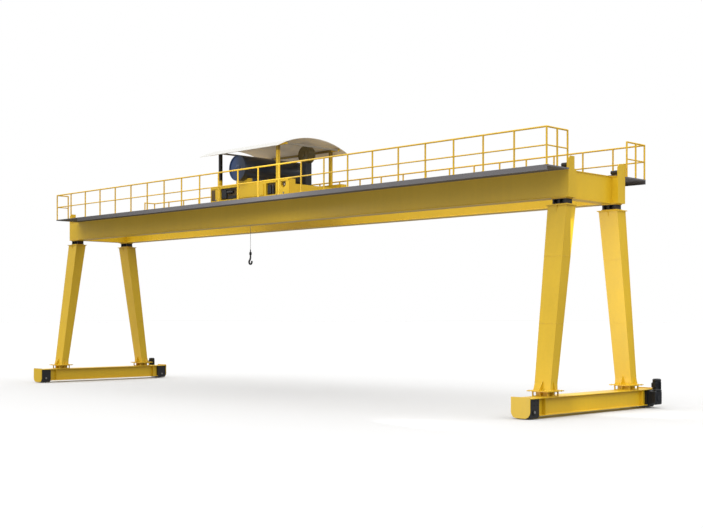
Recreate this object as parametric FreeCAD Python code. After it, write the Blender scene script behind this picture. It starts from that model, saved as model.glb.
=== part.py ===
import FreeCAD, Part
import math
import os

# Double-girder rail-mounted gantry crane.
# Millimetres, +Z up, X along the girders (right end +X), -Y is the near side.
# The origin is on the floor, midway between the two leg frames.

# ---- driving dimensions ----------------------------------------------------
span = 26200.0                # between the wheel planes of the two end carriages
rail_half_gauge = 1305.0      # trolley rail to crane centreline

girder_bottom_z = 6330.0
girder_depth = 830.0
girder_web_width = 400.0      # outside to outside of the two webs
girder_flange_lip = 25.0      # flange beyond each web
girder_flange = 20.0
girder_overhang = 330.0       # girder end beyond the wheel plane

cross_beam_width = 400.0
cross_beam_recess = 190.0     # cross beam face behind the girder's end

trolley_rail_height = 60.0
trolley_rail_width = 60.0

end_stop_rise = 365.0
end_stop_plate = 25.0
end_stop_bevel = 90.0
near_stop_y = (-1500.0, -1200.0)
far_stop_y = (1100.0, 1540.0)
buffer_radius = 65.0
buffer_length = 330.0
buffer_height = 70.0         # buffer axis above the rail top

deck_left_setback = 713.0     # the decks stop short of the girders' left end
deck_right_reach = 67.0       # and pass their right end
deck_outer_y = 2617.0
deck_plate = 40.0
edge_channel_setback = 1700.0 # the edge channel starts this far from the deck's left end
edge_channel_depth = 150.0
edge_channel_web = 12.0
edge_channel_flange = 60.0

rail_height = 1100.0          # handrail above the deck
rail_bays = 23
rail_post_radius = 28.0
rail_mid_radius = 22.0
rail_edge_inset = 27.0
rail_return_right = 1018.0
rail_return_left = 549.0

leg_head_z = 6130.0
leg_foot_z = 740.0
leg_head_y = 1327.0
leg_foot_y = 2140.0
leg_head_x_width = 660.0
leg_head_y_width = 464.0
leg_foot_x_width = 560.0
leg_foot_y_width = 320.0
leg_flange = 25.0
leg_head_flange_margin = 40.0
leg_foot_flange_x = 780.0
leg_foot_flange_y = 740.0
leg_flare_height = 200.0
leg_flare_margin = 35.0
leg_rib = 14.0
leg_rib_reach = 0.8           # share of the flange margin that a rib covers
leg_rib_height = 300.0
head_rib_height = 190.0

head_block_x_width = 520.0
head_block_y_width = 340.0
head_plate = 30.0
head_core_inset = 20.0
head_pocket_depth = 90.0
head_pocket_wall = 60.0
foot_block_x_width = 560.0
foot_block_y_width = 520.0
foot_block_wall = 35.0
foot_block_lip = 22.0
foot_pocket_depth = 80.0

carriage_width = 660.0
carriage_bottom_z = 90.0
carriage_top_z = 590.0
carriage_flange = 18.0
carriage_web_inset = 110.0
carriage_rib = 14.0
carriage_rib_y = 2580.0       # stiffeners outboard of the legs
carriage_end_y = 3320.0       # outer face of the end plates
end_plate = 22.0
end_plate_bottom_z = 28.0
end_plate_top_z = 625.0
end_plate_corner = 190.0

ground_wheel_radius = 195.0
ground_wheel_width = 130.0
wheel_end_clearance = 23.0    # wheel tread to the end plate
ground_wheel_flange = 22.0
ground_wheel_flange_width = 24.0
wheel_fork_gap = 16.0         # wheel rim to carriage beam
wheel_axle_radius = 45.0
axle_running_gap = 0.05
wheel_hub_radius = 110.0
wheel_hub_half_length = 105.0
wheel_groove_depth = 14.0
wheel_rim = 30.0
axle_seat_gap = 8.0           # hub face to housing
housing_half_width = 300.0    # outer face of the wheel housing
housing_bottom_z = 30.0
housing_corner = 90.0
housing_end_gap = 12.0        # housing to the end plate
housing_crown_gap = 30.0      # wheel flange to the housing's crown
hub_cap_radius = 85.0
hub_cap_thickness = 14.0
axle_end_reach = 20.0         # axle beyond the housing

gearbox_width = 380.0
gearbox_height = 440.0
gearbox_length = 300.0
gearbox_centre_z = 330.0
gearbox_corner = 45.0
drive_motor_radius = 125.0
drive_motor_height = 360.0
drive_motor_inset = 85.0      # motor axis behind the gearbox's outer face
drive_motor_seat = 30.0
drive_flange_radius = 130.0
drive_flange_length = 15.0
drive_flange_seat = 20.0
drive_recess_gap = 8.0        # gearbox recess to the hub cap and the axle's end

trolley_left_x = -3240.0
trolley_right_x = 1360.0
trolley_beam_width = 290.0
trolley_beam_bottom_z = 7290.0
trolley_beam_top_z = 7900.0
trolley_cross_width = 220.0
trolley_cross_top_z = 7720.0
trolley_cross_depth = 320.0
trolley_wheel_inset = 330.0
trolley_wheel_radius = 180.0
trolley_wheel_width = 110.0
trolley_wheel_flange = 16.0
trolley_wheel_flange_width = 18.0
trolley_axle_radius = 35.0
trolley_pocket_end_gap = 20.0
trolley_pocket_side_gap = 12.0
trolley_axle_reach = 8.0
wheel_rail_gap = 0.3
side_recess_depth = 90.0
side_recess_bottom = 90.0
side_recess_top = 80.0
left_recess_x = (-2640.0, -1640.0)
right_recess_x = (60.0, 600.0)
axle_window_half = 125.0
axle_window_depth = 60.0
cover_x = (-1500.0, -60.0)
cover_depth = 25.0

drum_x = -1370.0
drum_z = 8500.0
drum_radius = 485.0
drum_length = 3300.0
drum_end_lip = 30.0
drum_end_recess = 35.0
saddle_width = 160.0
saddle_half_span = 380.0
saddle_seat_drop = 390.0      # saddle top below the drum axis
rope_slot_half_x = 48.0
rope_slot_half_y = 260.0

gear_case_x = 350.0
gear_case_y = (180.0, 480.0)
gear_case_top_z = 9330.0
gear_case_head_radius = 320.0
gear_case_neck_half = 110.0
gear_case_neck_z = 8750.0
gear_case_shoulder_drop = 0.2 # shares of the head radius
gear_case_shoulder_half = 0.97
gear_case_base = 60.0
gear_case_base_margin = 60.0

post_left_x = -2760.0
post_right_x = 610.0
post_offset = 35.0            # canopy posts outboard of the trolley rails
post_size = 110.0
roof_left_x = -3500.0
roof_right_x = 1130.0
roof_half_span = 1780.0
roof_eave_z = 9090.0
roof_rise = 420.0
roof_sheet = 12.0
eave_beam_height = 80.0
eave_beam_width = 60.0
eave_beam_end = 60.0          # eave beams stop short of the roof's ends
tie_width = 50.0
tie_depth = 60.0

hook_x = -1750.0
hook_y = -680.0
hook_bottom_z = 4880.0
hook_bowl_radius = 82.0
hook_section_radius = 34.0
hook_shank_radius = 30.0
hook_head_z = 5270.0
hook_head_radius = 48.0
hook_head_height = 95.0
hook_neck = 80.0              # bowl top to where the shank begins
hook_neck_lap = 10.0
hook_turn_share = 0.35
hook_turn_rise = 12.0
hook_shoulder_angle = 150.0
hook_low_angle = 260.0
hook_tip_angle = 370.0
swivel_gap = 0.3
rope_radius = 8.0
curved_seat_gap = 0.3         # between curved faces that rest on each other

# ---- shared places ---------------------------------------------------------
wheel_plane_x = span / 2
girder_top_z = girder_bottom_z + girder_depth
girder_end_x = wheel_plane_x + girder_overhang
girder_outer_y = rail_half_gauge + girder_web_width / 2
girder_inner_y = rail_half_gauge - girder_web_width / 2
girder_flange_outer_y = girder_outer_y + girder_flange_lip
girder_flange_inner_y = girder_inner_y - girder_flange_lip
rail_top_z = girder_top_z + trolley_rail_height
deck_left_x = -girder_end_x + deck_left_setback
deck_right_x = girder_end_x + deck_right_reach
rail_y = deck_outer_y - rail_edge_inset
rail_left_x = deck_left_x + rail_edge_inset
rail_right_x = deck_right_x - rail_edge_inset
rail_pitch = (rail_right_x - rail_left_x) / rail_bays
trolley_wheel_z = rail_top_z + wheel_rail_gap + trolley_wheel_radius
end_plate_inner_y = carriage_end_y - end_plate
ground_wheel_y = end_plate_inner_y - wheel_end_clearance - ground_wheel_radius
pocket_end_y = ground_wheel_y - ground_wheel_radius - ground_wheel_flange - wheel_fork_gap
housing_slot_half = wheel_hub_half_length + axle_seat_gap
wheel_axle_reach = housing_half_width + axle_end_reach
post_y = rail_half_gauge + post_offset


# ---- shape helpers ---------------------------------------------------------
def box(x0, y0, z0, x1, y1, z1):
    return Part.makeBox(x1 - x0, y1 - y0, z1 - z0, FreeCAD.Vector(x0, y0, z0))


def rod(start, end, radius):
    a = FreeCAD.Vector(*start)
    run = FreeCAD.Vector(*end) - a
    return Part.makeCylinder(radius, run.Length, a, run)


def prism(points, run):
    wire = Part.makePolygon([FreeCAD.Vector(*p) for p in points + points[:1]])
    return Part.Face(wire).extrude(FreeCAD.Vector(*run))


def rectangle(cx, cy, z, x_width, y_width):
    hx = x_width / 2
    hy = y_width / 2
    corners = [(-hx, -hy), (hx, -hy), (hx, hy), (-hx, hy), (-hx, -hy)]
    return Part.makePolygon([FreeCAD.Vector(cx + dx, cy + dy, z) for dx, dy in corners])


def fuse(shapes):
    return shapes[0].multiFuse(shapes[1:]).removeSplitter()


def mirror_y(shape):
    return shape.mirror(FreeCAD.Vector(0, 0, 0), FreeCAD.Vector(0, 1, 0))


def mirror_x(shape):
    return shape.mirror(FreeCAD.Vector(0, 0, 0), FreeCAD.Vector(1, 0, 0))


def four_corners(shape):
    """The far right piece and its three mirror images."""
    pair = [shape, mirror_y(shape)]
    return pair + [mirror_x(s) for s in pair]


def save(name, shapes):
    solids = [solid for shape in shapes for solid in shape.Solids]
    whole = solids[0] if len(solids) == 1 else Part.makeCompound(solids)
    whole.exportStep("parts/" + name + ".step")


# ---- girders and what is welded to them ------------------------------------
def far_girder():
    web = box(-girder_end_x, girder_inner_y, girder_bottom_z,
              girder_end_x, girder_outer_y, girder_top_z)
    flanges = [box(-girder_end_x, girder_flange_inner_y, z,
                   girder_end_x, girder_flange_outer_y, z + girder_flange)
               for z in (girder_bottom_z, girder_top_z - girder_flange)]
    return fuse([web] + flanges)


def right_cross_beam():
    x1 = girder_end_x - cross_beam_recess
    x0 = x1 - cross_beam_width
    between_webs = box(x0 + girder_flange_lip, -girder_inner_y, girder_bottom_z + girder_flange,
                       x1 - girder_flange_lip, girder_inner_y, girder_top_z - girder_flange)
    flanges = [box(x0, -girder_flange_inner_y, z, x1, girder_flange_inner_y, z + girder_flange)
               for z in (girder_bottom_z, girder_top_z - girder_flange)]
    return fuse([between_webs] + flanges)


def far_trolley_rail():
    return box(-girder_end_x, rail_half_gauge - trolley_rail_width / 2, girder_top_z,
               girder_end_x, rail_half_gauge + trolley_rail_width / 2, rail_top_z)


def right_end_stop(sides, inner_y, outer_y):
    """A plate that closes the girder's end and stands up as the stop, bevelled towards -Y."""
    low, high = sides
    top = girder_top_z + end_stop_rise
    outline = [(girder_end_x, low, girder_top_z), (girder_end_x, high, girder_top_z),
               (girder_end_x, high, top), (girder_end_x, low + end_stop_bevel, top),
               (girder_end_x, low, top - end_stop_bevel)]
    stop = prism(outline, (end_stop_plate, 0, 0))
    cover = box(girder_end_x, inner_y, girder_bottom_z,
                girder_end_x + end_stop_plate, outer_y, girder_top_z)
    return fuse([stop, cover])


def far_right_buffer():
    z = rail_top_z + buffer_height
    return rod((girder_end_x, rail_half_gauge, z),
               (girder_end_x - buffer_length, rail_half_gauge, z), buffer_radius)


# ---- walkways and handrails ------------------------------------------------
def post_places():
    return [rail_left_x + i * rail_pitch for i in range(rail_bays + 1)]


def far_walkway():
    """A flush plate lapped under the girder's top flange, with a channel along its outer edge."""
    low = girder_top_z - deck_plate
    channel_x = deck_left_x + edge_channel_setback
    channel_z = girder_top_z - edge_channel_depth
    outer = box(deck_left_x, girder_flange_outer_y, low, deck_right_x, deck_outer_y, girder_top_z)
    lap = box(deck_left_x, girder_outer_y, low,
              girder_end_x, girder_flange_outer_y, girder_top_z - girder_flange)
    web = box(channel_x, deck_outer_y - edge_channel_web, channel_z,
              deck_right_x, deck_outer_y, low)
    flange = box(channel_x, deck_outer_y - edge_channel_flange, channel_z,
                 deck_right_x, deck_outer_y, channel_z + edge_channel_web)
    return fuse([outer, lap, web, flange])


def far_handrail():
    top_z = girder_top_z + rail_height - rail_post_radius
    mid_z = girder_top_z + rail_height / 2
    pieces = [rod((x, rail_y, girder_top_z), (x, rail_y, top_z), rail_post_radius)
              for x in post_places()]
    for z, radius in ((top_z, rail_post_radius), (mid_z, rail_mid_radius)):
        pieces.append(rod((rail_left_x, rail_y, z), (rail_right_x, rail_y, z), radius))
    for x in (rail_left_x, rail_right_x):
        pieces.append(Part.makeSphere(rail_post_radius, FreeCAD.Vector(x, rail_y, top_z)))
    return fuse(pieces)


def far_return_rail(x, length, bays):
    """Rails from the long run's corner post inwards across the walkway's end."""
    top_z = girder_top_z + rail_height - rail_post_radius
    mid_z = girder_top_z + rail_height / 2
    start_y = rail_y - rail_post_radius
    end_y = rail_y - length
    pieces = [rod((x, rail_y - (i + 1) * length / bays, girder_top_z),
                  (x, rail_y - (i + 1) * length / bays, top_z), rail_post_radius)
              for i in range(bays)]
    pieces.append(rod((x, start_y, top_z), (x, end_y, top_z), rail_post_radius - 1))
    pieces.append(rod((x, start_y, mid_z), (x, end_y, mid_z), rail_mid_radius - 1))
    pieces.append(Part.makeSphere(rail_post_radius, FreeCAD.Vector(x, end_y, top_z)))
    return fuse(pieces)


# ---- legs ------------------------------------------------------------------
def leg_axis_y(z):
    share = (z - leg_foot_z) / (leg_head_z - leg_foot_z)
    return leg_foot_y + share * (leg_head_y - leg_foot_y)


def leg_section(z, extra=0.0):
    share = (z - leg_foot_z) / (leg_head_z - leg_foot_z)
    x_width = leg_foot_x_width + share * (leg_head_x_width - leg_foot_x_width)
    y_width = leg_foot_y_width + share * (leg_head_y_width - leg_foot_y_width)
    return rectangle(wheel_plane_x, leg_axis_y(z), z, x_width + extra, y_width + extra)


def far_right_leg():
    shaft_bottom = leg_foot_z + leg_flange
    shaft_top = leg_head_z - leg_flange
    flare_top = shaft_bottom + leg_flare_height
    shaft = Part.makeLoft([leg_section(flare_top), leg_section(shaft_top)], True, True)
    flare = Part.makeLoft([leg_section(shaft_bottom, leg_flare_margin), leg_section(flare_top)],
                          True, True)
    head_margin = leg_head_flange_margin
    hx = leg_head_x_width / 2 + head_margin
    hy = leg_head_y_width / 2 + head_margin
    head_flange = box(wheel_plane_x - hx, leg_head_y - hy, shaft_top,
                      wheel_plane_x + hx, leg_head_y + hy, leg_head_z)
    fx = leg_foot_flange_x / 2
    fy = leg_foot_flange_y / 2
    foot_flange = box(wheel_plane_x - fx, leg_foot_y - fy, leg_foot_z,
                      wheel_plane_x + fx, leg_foot_y + fy, shaft_bottom)
    pieces = [shaft, flare, head_flange, foot_flange]
    for side in (-1, 1):
        pieces.append(end_rib(side, shaft_bottom, fy, leg_rib_height))
        pieces.append(end_rib(side, shaft_top, hy, -head_rib_height))
        pieces.append(side_rib(side, shaft_bottom))
    return fuse(pieces)


def end_rib(side, flange_z, flange_half, rise):
    """A triangular rib between a flange and the leg's inner or outer face."""
    share = (flange_z - leg_foot_z) / (leg_head_z - leg_foot_z)
    half = (leg_foot_y_width + share * (leg_head_y_width - leg_foot_y_width)) / 2
    core_y = leg_axis_y(flange_z)
    tip_y = core_y + side * (half + leg_rib_reach * (flange_half - half))
    top_y = leg_axis_y(flange_z + rise) + side * half
    x = wheel_plane_x - leg_rib / 2
    outline = [(x, core_y, flange_z), (x, tip_y, flange_z),
               (x, top_y, flange_z + rise), (x, core_y, flange_z + rise)]
    return prism(outline, (leg_rib, 0, 0))


def side_rib(side, flange_z):
    """A triangular rib between the foot flange and the leg's left or right face."""
    half = leg_foot_x_width / 2
    y = leg_axis_y(flange_z) - leg_rib / 2
    tip_x = wheel_plane_x + side * (half + leg_rib_reach * (leg_foot_flange_x / 2 - half))
    outline = [(wheel_plane_x, y, flange_z), (tip_x, y, flange_z),
               (wheel_plane_x + side * half, y, flange_z + leg_rib_height),
               (wheel_plane_x, y, flange_z + leg_rib_height)]
    return prism(outline, (0, leg_rib, 0))


def far_right_head_plates():
    """Plates under the girder and on the leg's head flange."""
    hx = head_block_x_width / 2
    hy = head_block_y_width / 2
    y = rail_half_gauge
    return [box(wheel_plane_x - hx, y - hy, z, wheel_plane_x + hx, y + hy, z + head_plate)
            for z in (leg_head_z, girder_bottom_z - head_plate)]


def far_right_head_block():
    """The seat between the two head plates, pocketed on its inner and outer faces."""
    hx = head_block_x_width / 2 - head_core_inset
    hy = head_block_y_width / 2 - head_core_inset
    y = rail_half_gauge
    low = leg_head_z + head_plate
    high = girder_bottom_z - head_plate
    block = box(wheel_plane_x - hx, y - hy, low, wheel_plane_x + hx, y + hy, high)
    for side in (-1, 1):
        y0, y1 = sorted((y + side * (hy + 1), y + side * (hy - head_pocket_depth)))
        for x0, x1 in ((wheel_plane_x - hx + head_pocket_wall, wheel_plane_x - leg_rib),
                       (wheel_plane_x + leg_rib, wheel_plane_x + hx - head_pocket_wall)):
            block = block.cut(box(x0, y0, low + leg_rib, x1, y1, high - leg_rib))
    return block


def far_right_foot_block():
    """A block between the carriage and the leg's foot with two pockets in each face."""
    hx = foot_block_x_width / 2
    hy = foot_block_y_width / 2
    y = leg_foot_y
    block = box(wheel_plane_x - hx, y - hy, carriage_top_z, wheel_plane_x + hx, y + hy, leg_foot_z)
    low = carriage_top_z + foot_block_lip
    high = leg_foot_z - foot_block_lip
    for end in (-1, 1):
        for side in (-1, 1):
            x0, x1 = sorted((wheel_plane_x + side * foot_block_wall / 2,
                             wheel_plane_x + side * (hx - foot_block_wall)))
            y0, y1 = sorted((y + end * (hy + 1), y + end * (hy - foot_pocket_depth)))
            block = block.cut(box(x0, y0, low, x1, y1, high))
            x0, x1 = sorted((wheel_plane_x + end * (hx + 1),
                             wheel_plane_x + end * (hx - foot_pocket_depth)))
            y0, y1 = sorted((y + side * foot_block_wall / 2, y + side * (hy - foot_block_wall)))
            block = block.cut(box(x0, y0, low, x1, y1, high))
    return block


# ---- end carriages, wheels and travel drives -------------------------------
def rounded_end_plate(y0, y1):
    half = carriage_width / 2
    r = end_plate_corner
    x0 = wheel_plane_x - half
    x1 = wheel_plane_x + half
    plate = box(x0, y0, end_plate_bottom_z, x1, y1, end_plate_top_z)
    corners = []
    for x, cx in ((x0, x0 + r), (x1, x1 - r)):
        corner = box(min(x, cx), y0, end_plate_bottom_z, max(x, cx), y1, end_plate_bottom_z + r)
        round_part = rod((cx, y0, end_plate_bottom_z + r), (cx, y1, end_plate_bottom_z + r), r)
        corners.append(corner.cut(round_part))
    return plate.cut(Part.makeCompound(corners))


def right_end_carriage():
    half = carriage_width / 2
    web_half = half - carriage_web_inset
    x0 = wheel_plane_x - half
    x1 = wheel_plane_x + half
    body = box(wheel_plane_x - web_half, -pocket_end_y, carriage_bottom_z,
               wheel_plane_x + web_half, pocket_end_y, carriage_top_z)
    bottom_flange = box(x0, -pocket_end_y, carriage_bottom_z,
                        x1, pocket_end_y, carriage_bottom_z + carriage_flange)
    top_flange = box(x0, -end_plate_inner_y, carriage_top_z - carriage_flange,
                     x1, end_plate_inner_y, carriage_top_z)
    pieces = [body, bottom_flange, top_flange]
    for side in (-1, 1):
        y0, y1 = sorted((side * end_plate_inner_y, side * carriage_end_y))
        pieces.append(rounded_end_plate(y0, y1))
        y = side * carriage_rib_y
        pieces.append(box(x0, y - carriage_rib / 2, carriage_bottom_z,
                          x1, y + carriage_rib / 2, carriage_top_z))
    return fuse(pieces)


def far_right_wheel_housing():
    """An arch over the wheel whose two cheeks carry the axle, with a cap on each cheek."""
    y = ground_wheel_y
    z = ground_wheel_radius
    y1 = end_plate_inner_y - housing_end_gap
    y0 = pocket_end_y
    top = carriage_top_z - carriage_flange
    x0 = wheel_plane_x - housing_half_width
    x1 = wheel_plane_x + housing_half_width
    block = box(x0, y0, housing_bottom_z, x1, y1, top)
    bottom_edges = [e for e in block.Edges if abs(e.CenterOfMass.z - housing_bottom_z) < 1.0
                    and abs(e.CenterOfMass.x - wheel_plane_x) < 1.0]
    block = block.makeFillet(housing_corner, bottom_edges)
    cap = rod((x0 - hub_cap_thickness, y, z), (x1 + hub_cap_thickness, y, z), hub_cap_radius)
    crown = 2 * ground_wheel_radius + ground_wheel_flange + housing_crown_gap
    slot = box(wheel_plane_x - housing_slot_half, y0 - 1, housing_bottom_z - 1,
               wheel_plane_x + housing_slot_half, y1 + 1, crown)
    bore = rod((x0 - 50, y, z), (x1 + 50, y, z), wheel_axle_radius + axle_running_gap)
    return fuse([block, cap]).cut(slot).cut(bore)


def far_right_ground_wheel():
    half = ground_wheel_width / 2
    y = ground_wheel_y
    z = ground_wheel_radius
    tread = rod((wheel_plane_x - half, y, z), (wheel_plane_x + half, y, z), ground_wheel_radius)
    hub = rod((wheel_plane_x - wheel_hub_half_length, y, z),
              (wheel_plane_x + wheel_hub_half_length, y, z), wheel_hub_radius)
    axle = rod((wheel_plane_x - wheel_axle_reach, y, z), (wheel_plane_x + wheel_axle_reach, y, z),
               wheel_axle_radius)
    wheel = fuse([tread, hub, axle])
    for side in (-1, 1):
        x_face = wheel_plane_x + side * half
        x_groove = x_face - side * wheel_groove_depth
        ring = rod((x_face, y, z), (x_groove, y, z), ground_wheel_radius - wheel_rim)
        core = rod((x_face, y, z), (x_groove, y, z), wheel_hub_radius)
        wheel = wheel.cut(ring.cut(core))
    return wheel


def right_travel_drive():
    """A geared motor bolted to the outer cheek of the far wheel's housing."""
    face_x = wheel_plane_x + housing_half_width
    y = ground_wheel_y
    y0 = y - gearbox_width / 2
    z0 = gearbox_centre_z - gearbox_height / 2
    case = box(face_x, y0, z0, face_x + gearbox_length, y0 + gearbox_width, z0 + gearbox_height)
    case = case.makeFillet(gearbox_corner, [e for e in case.Edges
                                            if abs(e.CenterOfMass.x - face_x) > 1.0])
    end_x = face_x + gearbox_length
    motor_x = end_x - drive_motor_inset
    top = z0 + gearbox_height
    motor = rod((motor_x, y, top - drive_motor_seat), (motor_x, y, top + drive_motor_height),
                drive_motor_radius)
    cap = rod((end_x - drive_flange_seat, y, gearbox_centre_z),
              (end_x + drive_flange_length, y, gearbox_centre_z), drive_flange_radius)
    recess = rod((face_x - 1.0, y, ground_wheel_radius),
                 (face_x + axle_end_reach + drive_recess_gap, y, ground_wheel_radius),
                 hub_cap_radius + drive_recess_gap)
    return fuse([case, motor, cap]).cut(recess)


# ---- trolley ---------------------------------------------------------------
def trolley_wheel_places():
    return (trolley_left_x + trolley_wheel_inset, trolley_right_x - trolley_wheel_inset)


def far_trolley_beam():
    """Box beam over the rail, hollowed for its two wheels and recessed on its outer face."""
    half = trolley_beam_width / 2
    y0 = rail_half_gauge - half
    y1 = rail_half_gauge + half
    beam = box(trolley_left_x, y0, trolley_beam_bottom_z, trolley_right_x, y1, trolley_beam_top_z)
    pocket_half = trolley_wheel_radius + trolley_wheel_flange + trolley_pocket_end_gap
    pocket_y = trolley_wheel_width / 2 + trolley_pocket_side_gap
    for x in trolley_wheel_places():
        beam = beam.cut(box(x - pocket_half, rail_half_gauge - pocket_y, trolley_beam_bottom_z - 1,
                            x + pocket_half, rail_half_gauge + pocket_y,
                            trolley_wheel_z + pocket_half))
        beam = beam.cut(rod((x, y0 - 1, trolley_wheel_z), (x, y1 + 1, trolley_wheel_z),
                            trolley_axle_radius + axle_running_gap))
    low = trolley_beam_bottom_z + side_recess_bottom
    high = trolley_beam_top_z - side_recess_top
    for x0, x1 in (left_recess_x, right_recess_x):
        beam = beam.cut(box(x0, y1 - side_recess_depth, low, x1, y1 + 1, high))
    window = trolley_wheel_places()[1]
    w = axle_window_half
    z = trolley_beam_top_z - side_recess_top - w
    outline = [(window - w, y1 + 1, z + w), (window + w, y1 + 1, z + w),
               (window + w, y1 + 1, z - w * 0.2), (window, y1 + 1, z - w),
               (window - w, y1 + 1, z - w * 0.2)]
    beam = beam.cut(prism(outline, (0, -axle_window_depth - 1, 0)))
    cover = box(cover_x[0], y1, low, cover_x[1], y1 + cover_depth, high)
    return fuse([beam, cover])


def trolley_frame():
    half = trolley_beam_width / 2
    y0 = rail_half_gauge - half
    far = far_trolley_beam()
    pieces = [far, mirror_y(far)]
    z1 = trolley_cross_top_z
    z0 = z1 - trolley_cross_depth
    width = trolley_cross_width
    places = (trolley_left_x, drum_x + saddle_half_span, gear_case_x - width / 2,
              trolley_right_x - width)
    for x in places:
        pieces.append(box(x, -y0, z0, x + width, y0, z1))
    return fuse(pieces)


def far_right_trolley_wheel(x):
    half = trolley_wheel_width / 2
    y = rail_half_gauge
    z = trolley_wheel_z
    tread = rod((x, y - half, z), (x, y + half, z), trolley_wheel_radius)
    reach = trolley_beam_width / 2 + trolley_axle_reach
    axle = rod((x, y - reach, z), (x, y + reach, z), trolley_axle_radius)
    pieces = [tread, axle]
    for side in (-1, 1):
        start = y + side * half
        end = start + side * trolley_wheel_flange_width * -1
        pieces.append(rod((x, start, z), (x, end, z), trolley_wheel_radius + trolley_wheel_flange))
    return fuse(pieces)


# ---- hoist -----------------------------------------------------------------
def drum_housing():
    half = drum_length / 2
    shell = rod((drum_x, -half, drum_z), (drum_x, half, drum_z), drum_radius)
    for side in (-1, 1):
        recess = rod((drum_x, side * half, drum_z), (drum_x, side * (half - drum_end_recess), drum_z),
                     drum_radius - drum_end_lip)
        shell = shell.cut(recess)
    slot = box(hook_x - rope_slot_half_x, hook_y - rope_slot_half_y, drum_z - drum_radius - 1,
               hook_x + rope_slot_half_x, hook_y + rope_slot_half_y, drum_z)
    return shell.cut(slot)


def drum_saddles():
    saddles = []
    for side in (-1, 1):
        y = side * rail_half_gauge
        low = trolley_beam_top_z
        block = box(drum_x - saddle_half_span, y - saddle_width / 2, low,
                    drum_x + saddle_half_span, y + saddle_width / 2, drum_z - saddle_seat_drop)
        seat = rod((drum_x, y - saddle_width, drum_z), (drum_x, y + saddle_width, drum_z),
                   drum_radius + curved_seat_gap)
        saddles.append(block.cut(seat))
    return saddles


def gear_case():
    """Round-headed case on a narrow neck that stands on a cross member."""
    y0, y1 = gear_case_y
    r = gear_case_head_radius
    head_z = gear_case_top_z - r
    head = rod((gear_case_x, y0, head_z), (gear_case_x, y1, head_z), r)
    neck = gear_case_neck_half
    shoulder_z = head_z - r * gear_case_shoulder_drop
    shoulder = r * gear_case_shoulder_half
    body = prism([(gear_case_x - neck, y0, trolley_cross_top_z),
                  (gear_case_x + neck, y0, trolley_cross_top_z),
                  (gear_case_x + neck, y0, gear_case_neck_z),
                  (gear_case_x + shoulder, y0, shoulder_z),
                  (gear_case_x - shoulder, y0, shoulder_z),
                  (gear_case_x - neck, y0, gear_case_neck_z)], (0, y1 - y0, 0))
    margin = gear_case_base_margin
    base = box(gear_case_x - neck, y0 - margin, trolley_cross_top_z,
               gear_case_x + neck, y1 + margin, trolley_cross_top_z + gear_case_base)
    return fuse([head, body, base])


# ---- canopy ----------------------------------------------------------------
def roof_radius():
    return (roof_half_span ** 2 + roof_rise ** 2) / (2 * roof_rise)


def roof_underside_z(y):
    r = roof_radius()
    return roof_eave_z + roof_rise - r + math.sqrt(r * r - y * y)


def canopy_roof():
    """Barrel-vaulted sheet: two arcs closed at the eaves and carried along X."""

    def arc(lift):
        left = FreeCAD.Vector(roof_left_x, -roof_half_span, roof_eave_z + lift)
        crown = FreeCAD.Vector(roof_left_x, 0, roof_eave_z + roof_rise + lift)
        right = FreeCAD.Vector(roof_left_x, roof_half_span, roof_eave_z + lift)
        return Part.Arc(left, crown, right).toShape(), left, right
    lower, lower_near, lower_far = arc(0.0)
    upper, upper_near, upper_far = arc(roof_sheet)
    edges = [lower, Part.makeLine(lower_far, upper_far), upper,
             Part.makeLine(upper_near, lower_near)]
    wire = Part.Wire(Part.__sortEdges__(edges))
    return Part.Face(wire).extrude(FreeCAD.Vector(roof_right_x - roof_left_x, 0, 0))


def canopy_frame():
    half = post_size / 2
    pieces = []
    beam_top = roof_underside_z(post_y + eave_beam_width / 2) - curved_seat_gap
    beam_low = beam_top - eave_beam_height
    for side in (-1, 1):
        y = side * post_y
        for x in (post_left_x, post_right_x):
            pieces.append(box(x - half, y - half, trolley_beam_top_z, x + half, y + half, beam_low))
        y0, y1 = sorted((y - eave_beam_width / 2, y + eave_beam_width / 2))
        pieces.append(box(roof_left_x + eave_beam_end, y0, beam_low,
                          roof_right_x - eave_beam_end, y1, beam_top))
    for x in (post_left_x, roof_right_x - eave_beam_end - tie_width / 2):
        pieces.append(box(x - tie_width / 2, -post_y, beam_low,
                          x + tie_width / 2, post_y, beam_low + tie_depth))
    return fuse(pieces)


# ---- hook ------------------------------------------------------------------
def hook_head():
    low = hook_head_z
    return rod((hook_x, hook_y, low), (hook_x, hook_y, low + hook_head_height), hook_head_radius)


def crane_hook():
    """Shank, then a swept bowl that opens towards +X."""
    bowl_z = hook_bottom_z + hook_section_radius + hook_bowl_radius
    shank = rod((hook_x, hook_y, bowl_z + hook_bowl_radius + hook_neck - hook_neck_lap),
                (hook_x, hook_y, hook_head_z - swivel_gap), hook_shank_radius)

    def on_bowl(angle):
        return FreeCAD.Vector(hook_x + hook_bowl_radius * math.cos(math.radians(angle)), hook_y,
                              bowl_z + hook_bowl_radius * math.sin(math.radians(angle)))
    start = FreeCAD.Vector(hook_x, hook_y, bowl_z + hook_bowl_radius + hook_neck)
    shoulder = on_bowl(hook_shoulder_angle)
    turn = FreeCAD.Vector(hook_x - hook_bowl_radius * hook_turn_share, hook_y,
                          bowl_z + hook_bowl_radius + hook_turn_rise)
    bend = Part.Arc(start, turn, shoulder).toShape()
    bowl = Part.Arc(shoulder, on_bowl(hook_low_angle), on_bowl(hook_tip_angle)).toShape()
    path = Part.Wire([bend, bowl])
    tangent = bend.tangentAt(bend.FirstParameter)
    profile = Part.Wire(Part.makeCircle(hook_section_radius, start, tangent))
    swept = path.makePipeShell([profile], True, False, 1)
    tip = Part.makeSphere(hook_section_radius, on_bowl(hook_tip_angle))
    return fuse([swept, shank, tip])


def hoist_rope():
    return rod((hook_x, hook_y, hook_head_z + hook_head_height), (hook_x, hook_y, drum_z),
               rope_radius)


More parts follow.
